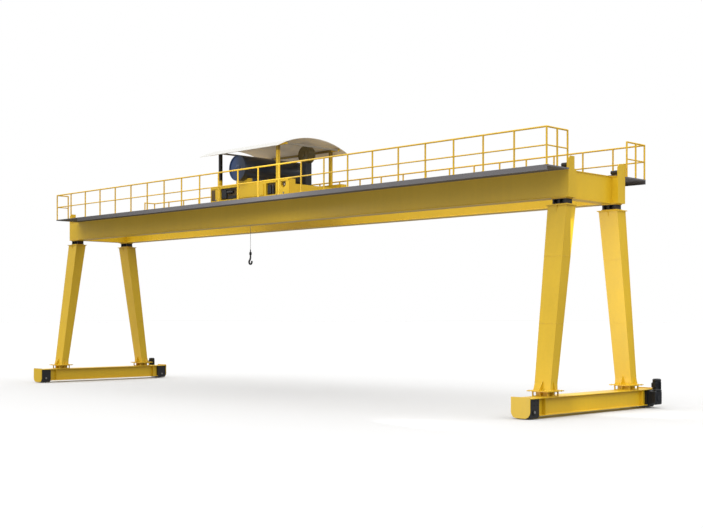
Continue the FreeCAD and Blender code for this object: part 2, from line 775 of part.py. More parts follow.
# ---- write every node ------------------------------------------------------
def main():
    os.makedirs("parts", exist_ok=True)
    girder = far_girder()
    save("far_girder", [girder])
    save("near_girder", [mirror_y(girder)])
    cross = right_cross_beam()
    save("right_cross_beam", [cross])
    save("left_cross_beam", [mirror_x(cross)])
    trolley_rail = far_trolley_rail()
    save("far_trolley_rail", [trolley_rail])
    save("near_trolley_rail", [mirror_y(trolley_rail)])
    stops = [right_end_stop(far_stop_y, girder_inner_y, girder_outer_y),
             right_end_stop(near_stop_y, -girder_outer_y, -girder_inner_y)]
    save("trolley_end_stops", stops + [mirror_x(s) for s in stops])
    save("end_stop_buffers", four_corners(far_right_buffer()))
    walkway = far_walkway()
    save("far_walkway", [walkway])
    save("near_walkway", [mirror_y(walkway)])
    handrail = far_handrail()
    save("far_handrail", [handrail])
    save("near_handrail", [mirror_y(handrail)])
    right_return = far_return_rail(rail_right_x, rail_return_right, 2)
    save("far_right_end_rail", [right_return])
    save("near_right_end_rail", [mirror_y(right_return)])
    left_return = far_return_rail(rail_left_x, rail_return_left, 1)
    save("far_left_end_rail", [left_return])
    save("near_left_end_rail", [mirror_y(left_return)])
    for name, leg in zip(("far_right", "near_right", "far_left", "near_left"),
                         four_corners(far_right_leg())):
        save(name + "_leg", [leg])
    plates = [four_corners(plate) for plate in far_right_head_plates()]
    save("leg_head_plates", plates[0] + plates[1])
    save("leg_head_blocks", four_corners(far_right_head_block()))
    save("leg_foot_blocks", four_corners(far_right_foot_block()))
    carriage = right_end_carriage()
    save("right_end_carriage", [carriage])
    save("left_end_carriage", [mirror_x(carriage)])
    save("wheel_housings", four_corners(far_right_wheel_housing()))
    drive = right_travel_drive()
    save("right_travel_drive", [drive])
    save("left_travel_drive", [mirror_x(drive)])
    for name, wheel in zip(("far_right", "near_right", "far_left", "near_left"),
                           four_corners(far_right_ground_wheel())):
        save(name + "_ground_wheel", [wheel])
    save("trolley_frame", [trolley_frame()])
    for side, x in zip(("left", "right"), trolley_wheel_places()):
        wheel = far_right_trolley_wheel(x)
        save("far_" + side + "_trolley_wheel", [wheel])
        save("near_" + side + "_trolley_wheel", [mirror_y(wheel)])
    save("hoist_drum_housing", [drum_housing()])
    save("drum_saddles", drum_saddles())
    save("hoist_gear_case", [gear_case()])
    save("canopy_frame", [canopy_frame()])
    save("canopy_roof", [canopy_roof()])
    save("hook_head", [hook_head()])
    save("crane_hook", [crane_hook()])
    save("hoist_rope", [hoist_rope()])


main()
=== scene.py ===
"""Finish and fine detail of a double-girder gantry crane, laid out as an add-on and run as a script."""

import math

import bpy
import numpy as np
from bpy.props import FloatProperty, FloatVectorProperty, PointerProperty
from bpy.types import Operator, Panel, PropertyGroup
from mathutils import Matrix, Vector


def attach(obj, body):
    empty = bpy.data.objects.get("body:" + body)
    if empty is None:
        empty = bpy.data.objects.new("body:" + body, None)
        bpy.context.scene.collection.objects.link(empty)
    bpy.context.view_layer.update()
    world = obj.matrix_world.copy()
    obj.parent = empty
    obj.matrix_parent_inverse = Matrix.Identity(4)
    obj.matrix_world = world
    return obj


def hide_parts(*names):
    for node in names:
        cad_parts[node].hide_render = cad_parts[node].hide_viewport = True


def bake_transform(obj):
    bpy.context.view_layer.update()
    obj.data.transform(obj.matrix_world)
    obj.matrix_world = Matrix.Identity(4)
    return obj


bl_info = {
    "name": "Gantry crane finish",
    "version": (1, 0, 0),
    "blender": (4, 5, 0),
    "location": "3D View > Sidebar > Crane",
    "description": "Paints a gantry crane and adds its bolts, welds, fins, clips and rope",
    "category": "Object",
}

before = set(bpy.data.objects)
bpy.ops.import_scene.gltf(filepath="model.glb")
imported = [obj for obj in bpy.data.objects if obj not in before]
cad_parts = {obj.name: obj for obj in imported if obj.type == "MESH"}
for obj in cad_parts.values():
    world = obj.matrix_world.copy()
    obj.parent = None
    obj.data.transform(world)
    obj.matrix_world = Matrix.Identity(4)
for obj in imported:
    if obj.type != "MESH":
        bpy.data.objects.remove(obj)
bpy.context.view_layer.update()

# ---- sizes shared with the steelwork, in metres ----------------------------
SIDES = (-1, 1)
WHEEL_PLANE_X = 13.1
RAIL_Y, RAIL_TOP = 1.305, 7.22
GIRDER_LOW, GIRDER_TOP = 6.33, 7.16
GIRDER_END_X = 13.43
GIRDER_FLANGE = 0.02
WEB_OUTER_Y, WEB_INNER_Y = 1.505, 1.105
DECK_LEFT_X, DECK_RIGHT_X = -12.717, 13.497
DECK_LOW = 7.12
HANDRAIL_Y = 2.59
HANDRAIL_LEFT_X, HANDRAIL_RIGHT_X, HANDRAIL_BAYS = -12.69, 13.47, 23
HANDRAIL_MID_Z = 7.71
LEG_HEAD_Z, LEG_FOOT_Z = 6.13, 0.74
LEG_HEAD_Y, LEG_FOOT_Y = 1.327, 2.14
LEG_HEAD_HALF, LEG_FOOT_HALF = (0.33, 0.232), (0.28, 0.16)
LEG_FLANGE = 0.025
LEG_FLARE = 0.0175
CARRIAGE_LOW, CARRIAGE_TOP = 0.09, 0.59
CARRIAGE_FLANGE = 0.018
CARRIAGE_WEB_HALF = 0.22
POCKET_Y = 2.847
GROUND_WHEEL_Y, GROUND_WHEEL_Z = 3.08, 0.195
HOUSING_HALF, CAP_OUT, AXLE_OUT = 0.30, 0.314, 0.32
GEARBOX_OUT, DRIVE_CAP_OUT = 13.70, 13.715
DRIVE_MOTOR_X, DRIVE_MOTOR_R = 13.615, 0.125
DRIVE_MOTOR_LOW, DRIVE_MOTOR_TOP = 0.55, 0.91
TROLLEY_WHEEL_X = (-2.91, 1.03)
TROLLEY_WHEEL_Z = 7.4003
TROLLEY_SIDE_Y = 1.45
TROLLEY_TOP = 7.9
DRUM_X, DRUM_Z, DRUM_R, DRUM_HALF = -1.37, 8.5, 0.485, 1.65
GEAR_X, GEAR_Z = 0.35, 9.01
GEAR_Y = (0.18, 0.48)
POST_X, POST_Y = (-2.76, 0.61), 1.34
ROPE_LOW, ROPE_TOP = 5.365, 8.2
HOOK_X, HOOK_Y = -1.75, -0.68
X_AXIS, Y_AXIS, Z_AXIS, DOWN = (1.0, 0.0, 0.0), (0.0, 1.0, 0.0), (0.0, 0.0, 1.0), (0.0, 0.0, -1.0)

# ---- finishes: orange peel, and how thin the skin of a top face is ----------
PEEL_SCALE, PEEL_DETAIL, PEEL_DEPTH = 240.0, 2.0, 0.00008
TOP_SKIN = 0.0005


# ---- shader expressions ----------------------------------------------------
class Value:
    """One shader socket that Python arithmetic works on; every operation adds its Math node."""

    def __init__(self, shader, socket):
        self.shader = shader
        self.socket = socket

    def math(self, operation, *others):
        inputs = dict(enumerate((self, *others)))
        return self.shader.node("ShaderNodeMath", {"operation": operation}, inputs)["Value"]

    def __add__(self, other):
        return self.math("ADD", other)

    def __mul__(self, other):
        return self.math("MULTIPLY", other)

    def __sub__(self, other):
        return self.math("SUBTRACT", other)

    def __rsub__(self, other):
        return self.math("MULTIPLY", -1.0) + other

    __radd__ = __add__
    __rmul__ = __mul__

    def between(self, low, high):
        """0 up to low and 1 from high on, with a soft step in between."""
        settings = {"interpolation_type": "SMOOTHSTEP"}
        inputs = {"Value": self, "From Min": low, "From Max": high}
        return self.shader.node("ShaderNodeMapRange", settings, inputs)["Result"]

    def line(self, centre, half_width):
        """1 on a line at centre that fades over half_width to each side."""
        return 1 - (self - centre).math("ABSOLUTE").between(0.0, half_width)

    def repeat(self, pitch):
        """Place within one pitch, from 0 to pitch."""
        return self.math("FLOORED_MODULO", pitch)


class Shader:
    """A node tree that is written as expressions."""

    def __init__(self, tree):
        tree.nodes.clear()
        self.tree = tree

    def node(self, kind, settings=None, inputs=None):
        """Adds a node: its settings first, then its sockets' values or links. Returns its outputs."""
        made = self.tree.nodes.new(kind)
        for name, value in (settings or {}).items():
            setattr(made, name, value)
        for name, value in (inputs or {}).items():
            if isinstance(value, Value):
                self.tree.links.new(value.socket, made.inputs[name])
            else:
                made.inputs[name].default_value = value
        return {out.name: Value(self, out) for out in made.outputs if out.enabled}

    def place(self):
        return self.node("ShaderNodeTexCoord")["Object"]

    def axes(self, vector):
        split = self.node("ShaderNodeSeparateXYZ", None, {"Vector": vector})
        return split["X"], split["Y"], split["Z"]

    def stretched(self, vector, scale):
        return self.node("ShaderNodeMapping", None, {"Vector": vector, "Scale": scale})["Vector"]

    def noise(self, vector, scale, detail=3.0):
        inputs = {"Vector": vector, "Scale": scale, "Detail": detail}
        return self.node("ShaderNodeTexNoise", None, inputs)["Fac"]

    def blend(self, factor, first, second):
        inputs = {0: factor, 6: first, 7: second}
        return self.node("ShaderNodeMix", {"data_type": "RGBA"}, inputs)["Result"]

    def bump(self, height, depth):
        return self.node("ShaderNodeBump", None, {"Height": height, "Distance": depth})["Normal"]

    def surface(self, **inputs):
        """The finished surface: a Principled shader; underscores stand for spaces in its sockets' names."""
        named = {key.replace("_", " "): value for key, value in inputs.items()}
        lit = self.node("ShaderNodeBsdfPrincipled", None, named)["BSDF"]
        self.node("ShaderNodeOutputMaterial", None, {"Surface": lit})


def rgba(colour, factor=1.0):
    return (colour[0] * factor, colour[1] * factor, colour[2] * factor, 1.0)


def new_material(name):
    made = bpy.data.materials.get(name) or bpy.data.materials.new(name)
    made.use_nodes = True
    return made, Shader(made.node_tree)


def gloss_paint(name, colour, gloss):
    """Sprayed enamel: a cloudy colour, faint run-down streaks and orange peel in the gloss."""
    made, s = new_material(name)
    place = s.place()
    cloud = s.noise(place, 0.5, 4.0)
    mottle = s.noise(place, 11.0)
    streak = s.noise(s.stretched(place, (7.0, 7.0, 0.4)), 1.0)
    shade = (cloud * 0.55 + mottle * 0.2 + streak * 0.25).between(0.3, 0.7)
    peel_height = s.noise(place, PEEL_SCALE, PEEL_DETAIL) + mottle * 3.0
    s.surface(
        Base_Color=s.blend(shade, rgba(colour, 0.94), rgba(colour, 1.05)),
        Roughness=cloud * 0.12 + mottle * 0.06 + gloss,
        Normal=s.bump(peel_height, PEEL_DEPTH),
    )
    return made


def deck_plate(name, colour):
    """Grey deck plate: rows of raised bars that lean alternately left and right, with plate joints, and
    painted shade that darkens it towards its left end.
    """
    made, s = new_material(name)
    place = s.place()
    x, y, z = s.axes(place)
    pitch, half_width, half_length = 0.06, 0.006, 0.02
    plate_length, joint_x, joint_half = 2.293, 1.0, 0.012
    full_shade_x, no_shade_x = -14.0, -3.0
    diagonal = 0.7071
    lean = (x + y) * diagonal
    cross = (x - y) * diagonal
    one = lean.repeat(pitch).line(pitch / 2, half_width) * cross.repeat(pitch).line(pitch / 2, half_length)
    two = cross.repeat(pitch).line(0.0, half_width) * lean.repeat(pitch).line(0.0, half_length)
    top = z.between(GIRDER_TOP - TOP_SKIN, GIRDER_TOP)
    tread = (one + two) * top
    joint = x.repeat(plate_length).line(joint_x, joint_half) * top
    cloud = s.noise(place, 0.8, 5.0)
    scuff = s.noise(place, 24.0, 4.0)
    # painted shade: the deck grows dark towards its left end, where shadow falls on it
    left_end_painted_shade = 1 - x.between(full_shade_x, no_shade_x)
    mottled = s.blend(cloud * 0.7 + scuff * 0.3, rgba(colour, 0.84), rgba(colour, 1.16))
    shaded_deck = s.blend(left_end_painted_shade * 0.8, mottled, rgba((0.030, 0.026, 0.020)))
    bare = s.blend(tread * 0.55, shaded_deck, rgba(colour, 1.7))
    s.surface(
        Base_Color=s.blend(joint, bare, rgba(colour, 0.35)),
        Roughness=0.62 - tread * 0.2 + scuff * 0.1,
        Normal=s.bump(tread - joint, 0.003),
    )
    return made


def run_steel(name, colour):
    """Rolled rail steel: brown flanks, a bright band worn along the middle of the head."""
    made, s = new_material(name)
    place = s.place()
    y, z = s.axes(place)[1:]
    band_half = 0.022
    head = z.between(RAIL_TOP - TOP_SKIN, RAIL_TOP)
    band = (y.math("ABSOLUTE").line(RAIL_Y, band_half) * head).between(0.0, 0.4)
    drawn = s.noise(s.stretched(place, (0.8, 90.0, 90.0)), 1.0)
    rust = s.noise(place, 14.0, 5.0)
    dull = s.blend(rust, rgba(colour, 0.7), rgba((0.16, 0.10, 0.07)))
    s.surface(
        Base_Color=s.blend(band, dull, rgba((0.55, 0.54, 0.52))),
        Metallic=band * 0.9 + 0.05,
        Roughness=0.75 - band * 0.45 + drawn * 0.12,
        Normal=s.bump(rust + drawn, 0.0004),
    )
    return made


def cast_metal(name, colour, metal, gloss, grain=38.0):
    """Cast or forged metal: a pebbled skin whose high spots are polished."""
    made, s = new_material(name)
    place = s.place()
    skin = s.noise(place, grain, 5.0)
    broad = s.noise(place, 3.0)
    polish = skin.between(0.52, 0.68)
    s.surface(
        Base_Color=s.blend(polish * 0.5 + broad * 0.3, rgba(colour, 0.8), rgba(colour, 1.45)),
        Metallic=metal,
        Roughness=gloss + 0.12 - polish * 0.12 + broad * 0.06,
        Normal=s.bump(skin, 0.0006),
    )
    return made


def drum_paint_and_shade(name, body, end):
    """Navy enamel on the drum: dark round the shell, a lighter blue on the two dished ends that fades into
    the shell's navy towards +X as painted shade.
    """
    made, s = new_material(name)
    place = s.place()
    x, y = s.axes(place)[:2]
    shell_y, end_y, fade = DRUM_HALF - 0.065, DRUM_HALF - 0.05, 0.30
    # painted shade: each end keeps its lighter blue only on its -X side and fades to the shell's navy towards
    # +X
    ends = y.math("ABSOLUTE").between(shell_y, end_y) * (1 - x.between(DRUM_X - fade, DRUM_X + fade))
    cloud = s.noise(place, 1.4, 4.0)
    turned = s.noise(s.stretched(place, (30.0, 0.6, 30.0)), 1.0)
    shell = s.blend(cloud, rgba(body, 0.75), rgba(body, 1.3))
    disc = s.blend(cloud, rgba(end, 0.85), rgba(end, 1.15))
    s.surface(
        Base_Color=s.blend(ends, shell, disc),
        Roughness=0.27 + cloud * 0.12 + turned * 0.05,
        Normal=s.bump(turned + s.noise(place, 200.0) * 0.3, 0.0002),
        Coat_Weight=0.35,
    )
    return made


def canopy_paint_and_shade(name, colour, dark, inside, gloss):
    """Canopy steel: yellow, the left posts dark higher up, painted shade on the post heads under the roof,
    the ties painted like the roof's inside.
    """
    made, s = new_material(name)
    place = s.place()
    x, y, z = s.axes(place)
    cloud = s.noise(place, 2.0, 4.0)
    left, right = POST_X
    inside_post, past_post = 0.07, 0.08
    dark_from, dark_to = 8.1, 8.2
    head_from, head_to = 8.99, 9.03
    tie = 1 - y.math("ABSOLUTE").between(POST_Y - 0.07, POST_Y - 0.06)
    left_post = ((1 - x.between(left + inside_post, left + past_post))
                 * x.between(left - past_post, left - inside_post) * z.between(dark_from, dark_to))
    # painted shade: above 9.03 m, from just right of the left posts to the right posts, the frame darkens
    # where it meets the roof and lies in its shadow
    post_head_painted_shade = (z.between(head_from, head_to) * x.between(left + 0.16, left + 0.26)
                 * (1 - x.between(right + 0.06, right + 0.07)))
    enamel = s.blend(cloud, rgba(colour, 0.92), rgba(colour, 1.05))
    posts = s.blend(left_post, enamel, rgba(dark))
    head_shaded = s.blend(post_head_painted_shade * 0.7, posts, rgba(dark, 4.0))
    s.surface(
        Base_Color=s.blend(tie, head_shaded, rgba(inside)),
        Roughness=cloud * 0.1 + gloss,
        Normal=s.bump(s.noise(place, PEEL_SCALE, PEEL_DETAIL), PEEL_DEPTH),
    )
    return made


def colour_above_below(name, high, low, change_z, gloss):
    """One colour above a height and another below it, with a soft join."""
    made, s = new_material(name)
    place = s.place()
    z = s.axes(place)[2]
    fade_below, fade_above = 0.12, 0.05
    cloud = s.noise(place, 3.0, 4.0)
    upper = s.blend(cloud, rgba(high, 0.85), rgba(high, 1.15))
    s.surface(
        Base_Color=s.blend(z.between(change_z - fade_below, change_z + fade_above), rgba(low), upper),
        Roughness=cloud * 0.1 + gloss,
        Normal=s.bump(s.noise(place, 200.0), 0.0001),
    )
    return made


def roof_sheet(name, outside, inside):
    """Roof sheet: grey-white on faces that point up, and a lighter cream on faces that point down as painted
    light under the vault, with shallow pressed ribs across it.
    """
    made, s = new_material(name)
    place = s.place()
    x = s.axes(place)[0]
    rib_pitch, rib_x, rib_half = 0.463, 0.232, 0.03
    facing = s.axes(s.node("ShaderNodeNewGeometry")["Normal"])[2]
    # painted light: faces that point down take the lighter cream, raised to stand in for light under the
    # vault
    under = 1 - facing.between(-0.2, 0.2)
    cloud = s.noise(place, 1.1, 4.0)
    rib = x.repeat(rib_pitch).line(rib_x, rib_half)
    top = s.blend(cloud, rgba(outside, 0.95), rgba(outside, 1.03))
    low = s.blend(cloud, rgba(inside, 0.92), rgba(inside, 1.06))
    s.surface(
        Base_Color=s.blend(under, top, low),
        Roughness=0.38 + cloud * 0.15,
        Normal=s.bump(rib + s.noise(place, 120.0) * 0.02, 0.006),
    )
    return made


def matt_rubber(name, colour):
    """Moulded rubber: fine grain and a greyer bloom in patches."""
    made, s = new_material(name)
    place = s.place()
    bloom = s.noise(place, 12.0, 4.0)
    grain = s.noise(place, 320.0)
    s.surface(
        Base_Color=s.blend(bloom.between(0.45, 0.75) * 0.5, rgba(colour), rgba(colour, 2.4)),
        Roughness=0.72 + bloom * 0.15,
        Normal=s.bump(grain, 0.0004),
    )
    return made


def wire_steel(name, colour):
    """Galvanised wire: bright zinc with darker grease between the wires."""
    made, s = new_material(name)
    place = s.place()
    grease = s.noise(place, 60.0, 4.0)
    s.surface(
        Base_Color=s.blend(grease, rgba(colour, 0.75), rgba(colour, 1.1)),
        Metallic=0.35,
        Roughness=0.42 + grease * 0.2,
        Normal=s.bump(s.noise(place, 500.0), 0.0002),
    )
    return made


def studio_floor(name, colour):
    """Pale seamless floor with the faintest mottle."""
    made, s = new_material(name)
    cloud = s.noise(s.place(), 0.05)
    s.surface(
        Base_Color=s.blend(cloud, rgba(colour, 0.995), rgba(colour, 1.0)),
        Roughness=0.9 + cloud * 0.05,
        Specular_IOR_Level=0.1,
    )
    return made


# ---- surfaces --------------------------------------------------------------
def grid_faces(rows, columns, closed=True):
    """Quads of a grid of points numbered row by row; closed joins the last column to the first."""
    r = np.arange(rows - 1)[:, None]
    c = np.arange(columns if closed else columns - 1)[None, :]
    nxt = (c + 1) % columns
    quads = np.stack([r * columns + c, r * columns + nxt,
                      (r + 1) * columns + nxt, (r + 1) * columns + c], -1)
    return quads.reshape(-1, 4).tolist()


def capped(points):
    """A closed tube of rows of points, each row a ring, with a flat face over its first and last ring."""
    rows, columns = points.shape[:2]
    faces = grid_faces(rows, columns)
    faces.append(list(range(columns))[::-1])
    faces.append(list(range((rows - 1) * columns, rows * columns)))
    return points.reshape(-1, 3), faces


def cross_axes(axis):
    """Two unit directions square to the axis, that turn right-handed round it."""
    w = np.array(axis, float)
    w /= np.linalg.norm(w)
    guide = np.array(Z_AXIS) if abs(w[2]) < 0.9 else np.array(X_AXIS)
    u = np.cross(guide, w)
    u /= np.linalg.norm(u)
    return u, np.cross(w, u), w


def turned(base, axis, profile, sides=24):
    """A turned part: point = base + axis * height + radius * (u cos a + v sin a).

    The profile lists each (radius, height).
    """
    u, v, w = cross_axes(axis)
    shape = np.array(profile, float)
    a = np.arange(sides) * (2 * math.pi / sides)
    ring = np.cos(a)[:, None] * u + np.sin(a)[:, None] * v
    points = np.array(base) + shape[:, 1, None, None] * w + shape[:, 0, None, None] * ring
    return capped(points)


def hexagon_head(base, axis, across, height):
    """A bolt head on a washer: rings of six corners at a radius of across / sqrt 3, drawn in at the top."""
    corner = across / math.sqrt(3)
    washer = corner * 1.15
    thin = height * 0.18
    profile = [(washer, 0.0), (washer, thin), (corner, thin * 1.02),
               (corner, height * 0.82), (corner * 0.86, height)]
    return turned(base, axis, profile, 6)


def copies(shape, places):
    """The same shape at each place: its points plus each offset in turn."""
    points, faces = shape
    offsets = np.array(places, float)
    all_points = (points[None, :, :] + offsets[:, None, :]).reshape(-1, 3)
    step = len(points)
    all_faces = [[i + n * step for i in face] for n in range(len(offsets)) for face in faces]
    return all_points, all_faces


def swept(section, path, across, up):
    """A section carried along a path: point = path point + section x * across + section y * up."""
    shape = np.array(section, float)
    line = np.array(path, float)
    across = np.broadcast_to(np.array(across, float), line.shape)
    up = np.broadcast_to(np.array(up, float), line.shape)
    return line[:, None, :] + shape[None, :, :1] * across[:, None, :] + shape[None, :, 1:2] * up[:, None, :]


def block(low, high, chamfer=0.003):
    """A plate or box: an eight-sided section, its corners cut by the chamfer and its ends drawn in by it."""
    lo = np.minimum(low, high)
    hi = np.maximum(low, high)
    c = min(chamfer, 0.45 * float((hi - lo).min()))
    x0, y0, z0 = lo
    x1, y1, z1 = hi

    def ring(inset, z):
        a, b, d, e = x0 + inset, x1 - inset, y0 + inset, y1 - inset
        return [(a + c, d, z), (b - c, d, z), (b, d + c, z), (b, e - c, z),
                (b - c, e, z), (a + c, e, z), (a, e - c, z), (a, d + c, z)]
    return capped(np.array([ring(c, z0), ring(0, z0 + c), ring(0, z1 - c), ring(c, z1)]))


def bead(start, end, across, up, radius, steps):
    """A weld bead: a quarter-round section along a line, its radius swelling and shrinking with each pass."""
    t = np.linspace(0.0, 1.0, steps)
    path = np.array(start) + t[:, None] * (np.array(end, float) - np.array(start))
    a = np.linspace(0.0, math.pi / 2, 4)
    section = np.concatenate([[[0.0, 0.0]], np.stack([np.cos(a), np.sin(a)], -1)])
    swelling, ripple = 0.13, 2.4
    swell = radius * (1 + swelling * np.sin(np.arange(steps) * ripple))
    rings = swept(section, path, across, up) - path[:, None, :]
    run = np.cross(np.array(across, float), np.array(up, float)) @ (np.array(end, float) - np.array(start))
    rings = rings * swell[:, None, None] + path[:, None, :]
    return capped(rings if run > 0 else rings[::-1])


def bolts(places, axis, across, height):
    """One bolt head at each place, all facing along the axis."""
    return copies(hexagon_head((0.0, 0.0, 0.0), axis, across, height), places)


def bolt_circle(centre, axis, radius, count, across, height):
    """Bolt heads evenly round a circle: place = centre + radius * (u cos a + v sin a)."""
    u, v = cross_axes(axis)[:2]
    a = np.arange(count) * (2 * math.pi / count)
    ring = np.cos(a)[:, None] * u + np.sin(a)[:, None] * v
    return bolts(np.array(centre) + radius * ring, axis, across, height)


def bead_frame(centre, half_x, half_y, up, radius, steps=60):
    """Four beads round a rectangle that lies level at the centre."""
    x, y, z = centre
    sides = []
    for sx, sy in ((1, 0), (-1, 0), (0, 1), (0, -1)):
        across = (float(sx), float(sy), 0.0)
        if sx:
            line = (x + sx * half_x, y - half_y, z), (x + sx * half_x, y + half_y, z)
        else:
            line = (x - half_x, y + sy * half_y, z), (x + half_x, y + sy * half_y, z)
        sides.append(bead(*line, across, (0.0, 0.0, up), radius, steps))
    return merged(sides)


def radial_fins(centre, inner, outer, low, high, count, half):
    """Upright fins round an axis: corner = centre + radius * (cos a, sin a) +- half * (-sin a, cos a)."""
    a = np.arange(count) * (2 * math.pi / count)
    out = np.stack([np.cos(a), np.sin(a)], -1)
    side = np.stack([-np.sin(a), np.cos(a)], -1) * half
    ring = [out * inner - side, out * outer - side, out * outer + side, out * inner + side]
    flat = np.stack(ring, 1) + np.array(centre)
    fins = []
    for corners_xy in flat:
        rows = [np.column_stack([corners_xy, np.full(4, z)]) for z in (low, high)]
        fins.append(capped(np.array(rows)))
    return merged(fins)


def strand(radius, around, lay, low, high, start, sides=5, steps_per_turn=9):
    """A strand of rope: a tube whose axis winds as (around cos t, around sin t, rising one lay per turn)."""
    turns = (high - low) / lay
    t = np.linspace(0.0, 1.0, int(turns * steps_per_turn) + 1)
    a = start + t * turns * 2 * math.pi
    out = np.stack([np.cos(a), np.sin(a), np.zeros_like(a)], -1)
    axis = out * around + np.stack([0 * a, 0 * a, low + t * (high - low)], -1)
    b = np.arange(sides) * (2 * math.pi / sides)
    ring = np.stack([np.cos(b), np.sin(b)], -1) * radius
    return capped(swept(ring, axis, out, np.cross(Z_AXIS, out)))


def moved(shape, offset):
    return shape[0] + np.array(offset), shape[1]


def merged(shapes):
    """Several shapes as one list of points and faces."""
    points, faces, count = [], [], 0
    for shape_points, shape_faces in shapes:
        points.append(shape_points)
        faces.extend([i + count for i in face] for face in shape_faces)
        count += len(shape_points)
    return np.concatenate(points), faces


def mirrored(shape, axis):
    """The shape mirrored through the origin along the axis, its faces turned to stay outward."""
    points, faces = shape
    flipped = points.copy()
    flipped[:, axis] *= -1
    return flipped, [face[::-1] for face in faces]


def both(shape, axis):
    return merged([shape, mirrored(shape, axis)])


def corners(shape):
    """The shape at all four corners of the crane."""
    return both(both(shape, 0), 1)


def add_piece(name, shapes, material, body, sharp=35.0):
    """Puts shapes into one object, smooth except over edges sharper than the angle.

    It rides on the body; with no body given, it rides on none.
    """
    points, faces = merged(shapes)
    mesh = bpy.data.meshes.new(name)
    mesh.from_pydata(points.tolist(), [], faces)
    mesh.shade_smooth()
    mesh.set_sharp_from_angle(angle=math.radians(sharp))
    mesh.materials.append(bpy.data.materials[material])
    made = bpy.data.objects.new(name, mesh)
    bpy.context.scene.collection.objects.link(made)
    if body:
        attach(made, body)
    return made


# ---- settings --------------------------------------------------------------
class CraneFinish(PropertyGroup):
    yellow: FloatVectorProperty(
        name="Yellow", description="Enamel of the steelwork", subtype="COLOR",
        default=(0.66, 0.42, 0.012), min=0.0, max=1.0)
    rail_yellow: FloatVectorProperty(
        name="Handrail yellow", description="Enamel of the handrails", subtype="COLOR",
        default=(0.72, 0.44, 0.010), min=0.0, max=1.0)
    gloss: FloatProperty(
        name="Paint roughness", description="Roughness of the yellow enamel", subtype="FACTOR",
        default=0.30, min=0.0, max=1.0)
    deck: FloatVectorProperty(
        name="Deck grey", description="Paint of the walkway plates", subtype="COLOR",
        default=(0.15, 0.142, 0.148), min=0.0, max=1.0)
    drum: FloatVectorProperty(
        name="Drum navy", description="Enamel of the drum's shell", subtype="COLOR",
        default=(0.010, 0.018, 0.035), min=0.0, max=1.0)
    drum_end: FloatVectorProperty(
        name="Drum end blue", description="Enamel of the drum's ends", subtype="COLOR",
        default=(0.016, 0.042, 0.12), min=0.0, max=1.0)
    drive: FloatVectorProperty(
        name="Drive enamel", description="Enamel of the travel drives", subtype="COLOR",
        default=(0.004, 0.006, 0.010), min=0.0, max=1.0)
    housing: FloatVectorProperty(
        name="Housing black", description="Enamel of the wheel housings", subtype="COLOR",
        default=(0.010, 0.009, 0.010), min=0.0, max=1.0)


class CraneStage(PropertyGroup):
    lens: FloatProperty(name="Lens", description="Focal length in millimetres", default=59.54, min=1.0)
    shift: FloatProperty(name="Shift", description="Upward shift of the picture", default=0.0771)
    heading: FloatProperty(
        name="Heading", description="Camera's turn about the vertical", subtype="ANGLE",
        default=math.radians(45.118))
    eye: FloatVectorProperty(
        name="Eye", description="Camera's place", subtype="XYZ", unit="LENGTH",
        default=(32.772, -29.562, 2.828))
    sky_top: FloatProperty(name="Light from above", description="Radiance straight up", default=2.3, min=0.0)
    sky_side: FloatProperty(name="Light from the sides", description="Radiance at the horizon",
                            default=0.30, min=0.0)
    sky_low: FloatProperty(name="Light from below", description="Radiance straight down",
                           default=0.36, min=0.0)


# ---- operators -------------------------------------------------------------
class CRANE_OT_materials(Operator):
    """Mix every finish and put it on the steelwork"""

    bl_idname = "crane.materials"
    bl_label = "Finishes"

    def execute(self, context):
        f = context.scene.crane_finish
        gloss_paint("yellow_enamel", f.yellow, f.gloss)
        gloss_paint("handrail_enamel", f.rail_yellow, f.gloss + 0.05)
        gloss_paint("housing_enamel", f.housing, 0.42)
        # painted shade: the gear case's brown above 8.75 m is its yellow darkened by the roof's shadow; below
        # that it is darker still
        colour_above_below("gear_case_painted_shade", (0.085, 0.062, 0.012), (0.010, 0.014, 0.020), 8.75, 0.40)
        canopy_paint_and_shade("canopy_enamel_and_shade", f.yellow, (0.008, 0.007, 0.004), (0.24, 0.21, 0.16), f.gloss)
        # painted shade: yellow steel darkened to brown, for the backs of the deep recesses
        gloss_paint("recess_painted_shade", (0.085, 0.050, 0.008), 0.55)
        gloss_paint("drive_enamel", f.drive, 0.30)
        deck_plate("deck_paint_and_shade", f.deck)
        run_steel("rail_steel", (0.20, 0.15, 0.12))
        cast_metal("wheel_iron", (0.055, 0.048, 0.045), 0.6, 0.42)
        cast_metal("hook_forging", (0.022, 0.021, 0.022), 0.5, 0.38)
        cast_metal("zinc_fastener", (0.30, 0.29, 0.27), 0.8, 0.35, 90.0)
        drum_paint_and_shade("drum_enamel_and_shade", f.drum, f.drum_end)
        roof_sheet("roof_coat_and_painted_light", (0.43, 0.425, 0.40), (0.85, 0.78, 0.66))
        matt_rubber("buffer_rubber", (0.016, 0.015, 0.015))
        wire_steel("rope_wire", (0.5, 0.5, 0.49))
        for name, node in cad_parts.items():
            node.data.materials.clear()
            node.data.materials.append(bpy.data.materials[finish_of(name)])
        return {"FINISHED"}


def finish_of(name):
    """The finish of a steelwork node, from what its name says it is."""
    for word, finish in (
        ("wheel_housings", "housing_enamel"), ("head_blocks", "housing_enamel"),
        ("handrail", "handrail_enamel"), ("end_rail", "handrail_enamel"), ("walkway", "deck_paint_and_shade"),
        ("trolley_rail", "rail_steel"), ("buffers", "buffer_rubber"), ("wheel", "wheel_iron"),
        ("travel_drive", "drive_enamel"), ("drum_housing", "drum_enamel_and_shade"), ("gear_case", "gear_case_painted_shade"),
        ("canopy_roof", "roof_coat_and_painted_light"), ("canopy_frame", "canopy_enamel_and_shade"), ("rope", "rope_wire"),
        ("hook", "hook_forging"),
    ):
        if word in name:
            return finish
    return "yellow_enamel"


